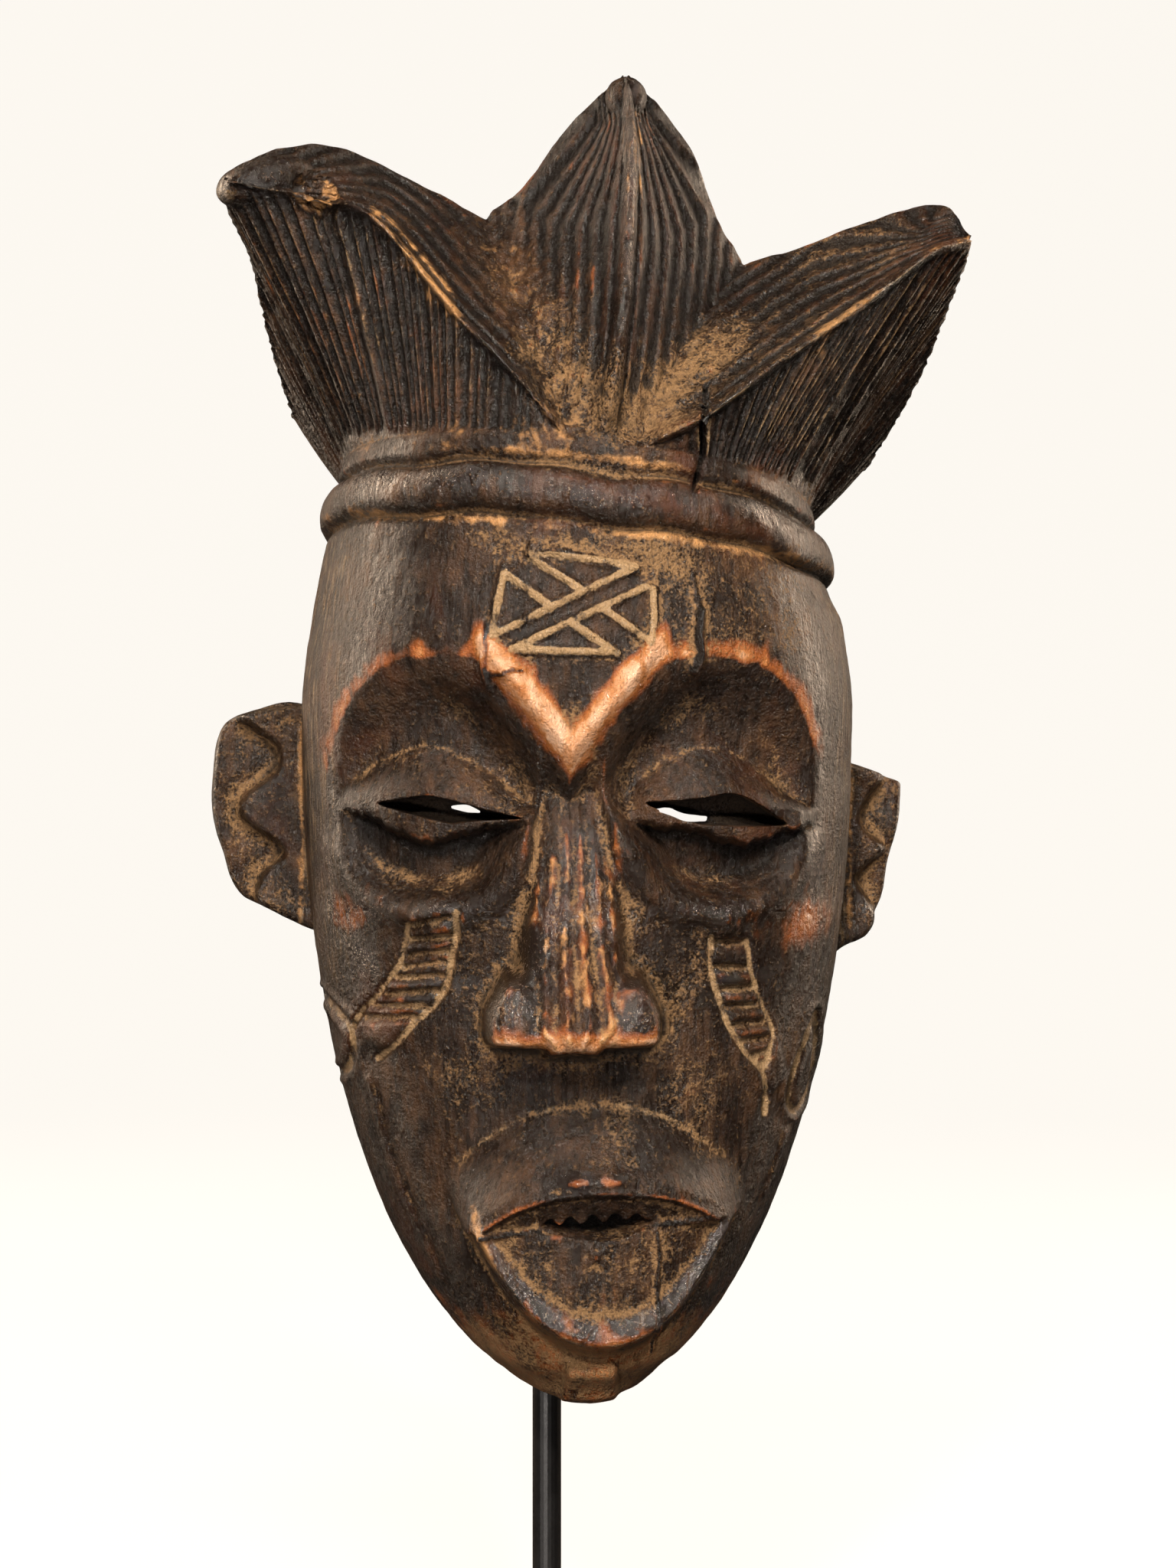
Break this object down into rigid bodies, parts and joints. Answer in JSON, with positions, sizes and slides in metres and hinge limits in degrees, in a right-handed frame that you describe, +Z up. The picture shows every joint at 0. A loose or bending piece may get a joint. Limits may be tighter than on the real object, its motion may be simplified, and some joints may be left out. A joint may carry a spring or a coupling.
{
  "type": "chokwe mask",
  "caption": "Carved wooden face mask, hollow at the back, with a fluted lobed crown and cheek scarification, held up by a steel rod on a flat foot.",
  "frame": {"origin": "on the foot's underside, below the rod from side to side and below the mask's widest section from front to back", "axes": "+X to the right as seen from the front, +Y to the back, +Z up; the face looks along -Y"},
  "size_m": [0.2024, 0.156, 0.4455],
  "materials": {
    "carved_wood": "near-black brown patina, waxy and worn through to reddish and golden wood on the edges, with grey-brown dust in the hollows",
    "black_steel": "satin black paint"
  },
  "bodies": {
    "root": {"mask": "carved_wood", "stand_rod": "black_steel", "stand_saddle": "black_steel", "stand_foot": "black_steel"}
  },
  "joints": []
}
